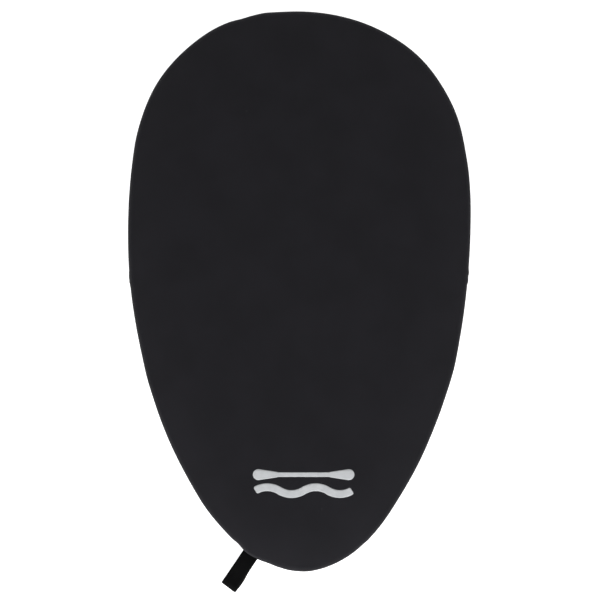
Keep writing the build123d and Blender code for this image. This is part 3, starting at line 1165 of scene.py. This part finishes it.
def strapLine(offset):
    # one layer from the sewn-in end to the fold: (distance out, height), offset up from the middle
    radius = tapeOutside - 0.0014 + offset
    inside = [bandArc(turn, radius) for turn in (26, 21, 16, 11, 7)]
    points = [(-inset, z) for inset, z in inside]
    points.append((-0.0030, 0.0236 + offset * 0.9))
    points.append((-0.0008, 0.0235 + offset))
    droop = math.radians(strap["droop"])
    down = Vector((math.cos(droop), -math.sin(droop)))
    up = Vector((math.sin(droop), math.cos(droop)))
    length = (strap["reach"] + strap["overrun"] - pivotOut - 0.0014) / math.cos(droop)
    for t in (0.03, 0.09, 0.18, 0.30, 0.43, 0.56, 0.69, 0.81, 0.91, 0.985):
        # starts level out of the seam, bends under its weight, and eases onto the floor
        bow = strap["arch"] * math.sin(math.pi * clamp(t / 0.55)) - strap["dip"] * math.sin(
            math.pi * clamp((t - 0.5) / 0.5))
        bow += strap["fold"] * ease((t - 0.7) / 0.3)
        loose = 1 + strap["puff"] * math.sin(math.pi * t) ** 2 * (1 if offset < 0 else 0.4)
        spot = Vector((pivotOut, pivotZ)) + down * (length * t) + up * (bow + offset * loose)
        points.append((spot.x, spot.y))
    return points


def webSection(width, thickness, columns=24):
    # closed loop of (side, up) round the webbing, with shallow ribs and rounded selvedges
    loop = []
    for face in (1, -1):
        for n in range(columns + 1):
            t = -1 + 2 * n / columns
            rib = strap["rib"] * math.cos(t * math.pi * strap["ribs"])
            thin = 1 - 0.55 * ease((abs(t) - 0.90) / 0.10)
            loop.append((t * face * width / 2, face * (thickness / 2 * thin + rib)))
    return loop


def buildStrap():
    half = strap["layer"] / 2 + strap["gap"] / 2
    top = strapLine(half)
    low = strapLine(-half)
    foldAt = (Vector(top[-1]) + Vector(low[-1])) / 2
    ahead = (Vector(top[-1]) - Vector(top[-2])).normalized()
    path = top + [tuple(foldAt + ahead * 0.0009)] + low[::-1]
    line = smoothPath(path, 4)
    section = webSection(strap["width"], strap["layer"])
    rings = []
    for n, spot in enumerate(line):
        ahead = (line[min(n + 1, len(line) - 1)] - line[max(n - 1, 0)]).normalized()
        normal = Vector((-ahead.y, ahead.x))
        t = clamp((spot.x - 0.002) / (strap["reach"] - 0.002))
        lower = n > len(line) / 2
        shift = strap["sideBow"] * math.exp(-((t - 0.70) / 0.24) ** 2) if lower else 0.0
        shift += strap["tilt"] * t if lower else 0.0
        wave = strap["waver"] * noise.noise(Vector((n * 0.15, 7.0 if lower else 2.0, 0)))
        widen = strap["wide"][0] + strap["wide"][1] * t
        # inside, the webbing lies on the curve of the rim
        bend = ease(-spot.x / 0.004)
        ring = []
        for side, up in section:
            place = spot + normal * up
            across = side * widen + shift + wave + strap["seat"] + strap["lean"] * ease(t)
            sink = bend * across * across / (2 * rim["radii"][0])
            sag = -strap["sag"] * t * (side / (strap["width"] / 2)) ** 2
            lead = strap["skew"] * across * ease(t)
            ring.append(strapSpot(place.x - sink + lead, place.y + sag, across))
        rings.append(ring)
    piece = loftRings("pullStrap", rings, fillStart=True, fillEnd=True)
    lengths = [0.0]
    for n in range(1, len(line)):
        lengths.append(lengths[-1] + (line[n] - line[n - 1]).length)
    ringOf = {}
    for number, ring in enumerate(rings):
        for place, spot in enumerate(ring):
            ringOf[microns(spot)] = (number, place)

    def alongWeb(co):
        number, place = ringOf.get(microns(co), (0, 0))
        return (lengths[number], section[place % len(section)][0])

    layUV(piece, alongWeb)
    finishShell(piece, 50)

    def rub(co):
        # rubbed at the fold and along both edges
        out, side = (co - strapRoot).dot(strapOut), (co - strapRoot).dot(strapSide)
        return (0.8 * ease((out - strap["reach"] + 0.009) / 0.009)
                + 0.5 * ease((abs(side) - 0.0112) / 0.0015))

    rubAttribute(piece, rub)
    piece.data.materials.append(webbingWeave)
    return piece


pullStrap = buildStrap()
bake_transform(pullStrap)
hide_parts("pull_strap", "strap_tail")
print("pull strap:", len(pullStrap.data.polygons), "faces")


# ---------- bar tacks: dense zigzags that close the loop and hold the sewn-in ends ----------
tack = {
    "length": 0.019,
    "width": 0.0022,
    "legs": 34,
    "radius": 0.00018,
    "sag": 0.00012,
    "lean": 9,
    "longRows": (-0.7, 0.0, 0.7),  # the long stitches that the zigzag covers
    "longParts": 6,
}


def buildTack(name, spot, side, along, up):
    # side runs along the tack, along is the direction of the webbing
    model = makeStitch(name, tack["width"], tack["radius"], tack["sag"])
    frames = []
    for n in range(tack["legs"]):
        at = -tack["length"] / 2 + tack["length"] * (n + 0.5) / tack["legs"]
        lean = math.radians(tack["lean"] if n % 2 else -tack["lean"])
        leg = along * math.cos(lean) + side * math.sin(lean)
        jitter = random.uniform(-0.00005, 0.00005)
        frames.append(frameAt(spot + side * at + along * jitter, leg.normalized(), up))
    for edge in tack["longRows"]:
        for part in range(tack["longParts"]):
            at = -tack["length"] / 2 + tack["length"] * (part + 0.5) / tack["longParts"]
            frames.append(frameAt(spot + side * at + along * (edge * tack["width"] / 2)
                                  - up * 0.00010, side, up)
                          @ Matrix.Diagonal((1.4, 1, 1, 1)))
    return copyStitches(name, model, frames)


droop = math.radians(strap["droop"])
downLine = strapOut * math.cos(droop) - Vector((0, 0, math.sin(droop)))
upLine = strapOut * math.sin(droop) + Vector((0, 0, math.cos(droop)))
tackSpot = strapSpot(pivotOut, pivotZ) + downLine * 0.0068
loopTackTop = buildTack("loopBarTackTop", tackSpot + upLine * 0.0017, strapSide, downLine, upLine)
loopTackLow = buildTack("loopBarTackLow", tackSpot - upLine * 0.0012, strapSide, downLine, -upLine)
tailInset, tailZ = bandArc(18.5, tapeOutside - 0.0028)
tailTurn = math.radians(18.5)
tailUp = -strapOut * math.cos(tailTurn) + Vector((0, 0, math.sin(tailTurn)))
tailAlong = strapOut * math.sin(tailTurn) + Vector((0, 0, math.cos(tailTurn)))
tailTack = buildTack("tailBarTack", strapSpot(-tailInset, tailZ), strapSide, tailAlong, tailUp)
standsFor(loopTackTop, "thread", "loop_bar_tack", body="pull_strap")
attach(loopTackLow, "pull_strap")
standsFor(tailTack, "thread", "tail_bar_tack")
print("bar tacks")

# ---------- printed emblem: a paddle over a wave ----------
emblem = {
    "center": (0.007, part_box("deck_panel")[0][1] + 0.1373),
    "paddleAt": 0.014,  # above the emblem's center
    "paddleWidth": 0.157,
    "shaft": 0.007,
    "bladeRadius": 0.0085,
    "neckRadius": 0.004,
    "bladeLength": 0.038,
    "waveAt": -0.0108,
    "waveLine": 0.150,  # from end to end of the wave's center line
    "halfWaves": 4,
    "waveRadius": 0.036,
    "stroke": 0.012,
    "ink": 0.00016,
}


def waveHeight(x):
    # a chain of arcs, up and down by turns
    pitch = emblem["waveLine"] / emblem["halfWaves"]
    number = math.floor(x / pitch)
    middle = (number + 0.5) * pitch
    radius, half = emblem["waveRadius"], pitch / 2
    rise = math.sqrt(radius ** 2 - (x - middle) ** 2) - math.sqrt(radius ** 2 - half ** 2)
    return rise if number % 2 == 0 else -rise


def buildWave():
    piece = addStrip("wave", 120, 6)
    corner = 0.0022  # how far its ends are rounded

    def bend(co):
        x = co.x * (emblem["waveLine"] / 2)
        step = 0.0001
        slope = (waveHeight(x + step) - waveHeight(x - step)) / (2 * step)
        toEnd = (1 - abs(co.x)) * emblem["waveLine"] / 2
        rounded = 1 - 0.30 * (1 - math.sqrt(1 - (1 - clamp(toEnd / corner)) ** 2))
        across = co.y * emblem["stroke"] / 2 * rounded
        length = math.hypot(1, slope)
        return Vector((x - across * slope / length,
                       emblem["waveAt"] + waveHeight(x) + across / length, 0))

    reshape(piece, bend)
    return piece


def paddleHalf(x):
    # half the width of the paddle at a distance from its middle
    big, small = emblem["bladeRadius"], emblem["neckRadius"]
    bigAt = emblem["paddleWidth"] / 2 - big
    smallAt = emblem["paddleWidth"] / 2 - emblem["bladeLength"]
    lean = math.asin((big - small) / (bigAt - smallAt))
    bigTouch, smallTouch = bigAt - big * math.sin(lean), smallAt - small * math.sin(lean)
    x = abs(x)
    if x > bigTouch:
        return math.sqrt(max(0.0, big ** 2 - (x - bigAt) ** 2))
    if x > smallTouch:
        part = (x - smallTouch) / (bigTouch - smallTouch)
        return math.cos(lean) * (small + (big - small) * part)
    return emblem["shaft"] / 2


def buildPaddle():
    # a strip whose half width changes along it, with more columns at its round ends
    piece = addStrip("paddle", 160, 6)

    def bend(co):
        x = math.sin(co.x * math.pi / 2) * emblem["paddleWidth"] / 2
        return Vector((x, emblem["paddleAt"] + co.y * paddleHalf(x), 0))

    reshape(piece, bend)
    return piece


def buildEmblem():
    piece = joinPieces([buildWave(), buildPaddle()], "emblemPrint")
    mapPiece(piece, lambda co: (co.x, co.y))

    def lay(co):
        x, y = co.x + emblem["center"][0], co.y + emblem["center"][1]
        return Vector((x, y, deckHeight(x, y) + emblem["ink"]))

    reshape(piece, lay)
    finishShell(piece, 30)
    thicken(piece, "ink", emblem["ink"] * 0.8)  # so its underside clears the cloth
    return piece


def buildInkMaterial():
    material, tree, shader = newMaterial("paleInk")
    vector = clothVector(tree)
    knit = placeGroup(tree, knitFace, vector, {"Column": 0.0010, "Row": 0.0008})
    fade = placeGroup(tree, fadeAndLint, vector, {"Patch": 60.0, "Lint": 0.0})
    color = addMix(tree, fade["Tone"], (0.52, 0.535, 0.55), (0.63, 0.645, 0.66))
    worn = addRange(tree, addNoise(tree, vector, 420, 4, 0.7), 0.66, 0.76, 0.0, 0.7)
    color = addMix(tree, times(tree, worn, knit["Valley"]), color, (0.12, 0.12, 0.12))
    dress(tree, shader, color, addRange(tree, knit["Height"], 0, 1, 0.62, 0.48),
          addBump(tree, knit["Height"], 0.00010, 0.8), {"Specular IOR Level": 0.35})
    return material


emblemPrint = buildEmblem()
emblemPrint.data.materials.append(buildInkMaterial())
standsFor(emblemPrint, "print_ink", "emblem_print")
print("printed emblem")


# ---------- the bungee ring stays as it is, with better finishes ----------
def buildBraidMaterial():
    material, tree, shader = newMaterial("braidedSheath")
    vector = objectVector(tree)
    turned = addNode(tree, "Mapping", Vector=vector, Rotation=(0, 0, math.radians(90)))
    braid = addMath(tree, "MAXIMUM", addDiagonalWave(tree, vector, 260),
                    addDiagonalWave(tree, turned.outputs[0], 260))
    # the strands lighter on their crests and darker between them, as painted shade
    dress(tree, shader, addMix(tree, braid, (0.004, 0.004, 0.004), (0.016, 0.016, 0.017)),
          addRange(tree, braid, 0, 1, 0.7, 0.5), addBump(tree, braid, 0.0003, 0.8))
    return material


def buildRubberMaterial():
    material, tree, shader = newMaterial("latexStrands")
    tone = addNoise(tree, objectVector(tree), 300, 4)
    dress(tree, shader, addMix(tree, tone, (0.42, 0.33, 0.20), (0.62, 0.52, 0.36)),
          addRange(tree, tone, 0.3, 0.7, 0.45, 0.65), addBump(tree, tone, 0.0002, 0.5))
    return material


def buildFerruleMaterial():
    material, tree, shader = newMaterial("crimpedSteel")
    stretch = addNode(tree, "Mapping", Vector=objectVector(tree), Scale=(60, 1400, 1400))
    brush = addNoise(tree, stretch.outputs[0], 1.0, 4)
    dress(tree, shader, addMix(tree, brush, (0.40, 0.41, 0.42), (0.62, 0.63, 0.64)),
          addRange(tree, brush, 0.3, 0.7, 0.28, 0.45), addBump(tree, brush, 0.00004, 0.5),
          {"Metallic": 1.0})
    return material


for node, material in (("bungee_sheath", buildBraidMaterial()),
                       ("bungee_core", buildRubberMaterial()),
                       ("bungee_ferrule", buildFerruleMaterial())):
    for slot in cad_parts[node].material_slots:
        slot.material = material
print("bungee ring: finishes")

# ---------- floor, light and camera ----------
deckLow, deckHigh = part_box("deck_panel")
view = {
    "center": (0.0014, (deckLow[1] + deckHigh[1]) / 2 - 0.0136),
    "height": 3.2,
    "outlineZ": 0.029,
    "acrossOutline": 0.9344,  # metres seen across the frame at the height of the outline
}
bpy.ops.object.select_all(action="DESELECT")
bpy.ops.mesh.primitive_plane_add(size=40, location=(0, 0, 0))
floor = bpy.context.object
floor.name = "floor"
floorPaint, tree, shader = newMaterial("palePaper")
shader.inputs["Base Color"].default_value = (0.93, 0.93, 0.93, 1)
shader.inputs["Roughness"].default_value = 0.9
shader.inputs["Specular IOR Level"].default_value = 0.1
shader.inputs["Emission Color"].default_value = (1, 1, 1, 1)
shader.inputs["Emission Strength"].default_value = 0.85
floor.data.materials.append(floorPaint)

studio = {"front": 1.15, "rear": 0.52, "sides": 0.5}  # brighter in front, darker at the sides
world = bpy.data.worlds.new("studio")
world.use_nodes = True
tree = world.node_tree
x, y = splitXY(tree, tree.nodes.new("ShaderNodeTexCoord").outputs["Generated"])
strength = addRange(tree, y, -1, 1, studio["front"], studio["rear"], smooth=False)
aside = addRange(tree, addMath(tree, "ABSOLUTE", x), 0, 1, 1, studio["sides"], smooth=False)
background = tree.nodes["Background"].inputs
background["Color"].default_value = (1, 1, 1, 1)
feed(tree, background["Strength"], times(tree, strength, aside))
bpy.context.scene.world = world


def addLight(name, spot, aim, size, power):
    light = bpy.data.lights.new(name, "AREA")
    light.shape = "RECTANGLE"
    light.size, light.size_y = size
    light.energy = power
    holder = bpy.data.objects.new(name, light)
    holder.location = spot
    holder.rotation_euler = (Vector(aim) - Vector(spot)).to_track_quat("-Z", "Y").to_euler()
    bpy.context.collection.objects.link(holder)


addLight("frontSoftbox", (0.0, -1.5, 0.9), (0, -0.3, 0), (0.9, 0.6), 11)
addLight("leftSoftbox", (-2.7, 0.4, 2.2), (0, 0, 0), (1.6, 2.4), 4)
addLight("rightSoftbox", (2.7, 0.4, 2.2), (0, 0, 0), (1.6, 2.4), 4)

camera = bpy.data.cameras.new("camera")
camera.sensor_width = 36
distance = view["height"] - view["outlineZ"]
camera.lens = 36 * distance / view["acrossOutline"]
camera.clip_end = 50
cameraHolder = bpy.data.objects.new("camera", camera)
cameraHolder.location = (*view["center"], view["height"])
bpy.context.collection.objects.link(cameraHolder)
bpy.context.scene.camera = cameraHolder
bpy.context.scene.view_settings.view_transform = "Standard"
bpy.context.scene.view_settings.look = "None"

print("scene ready")
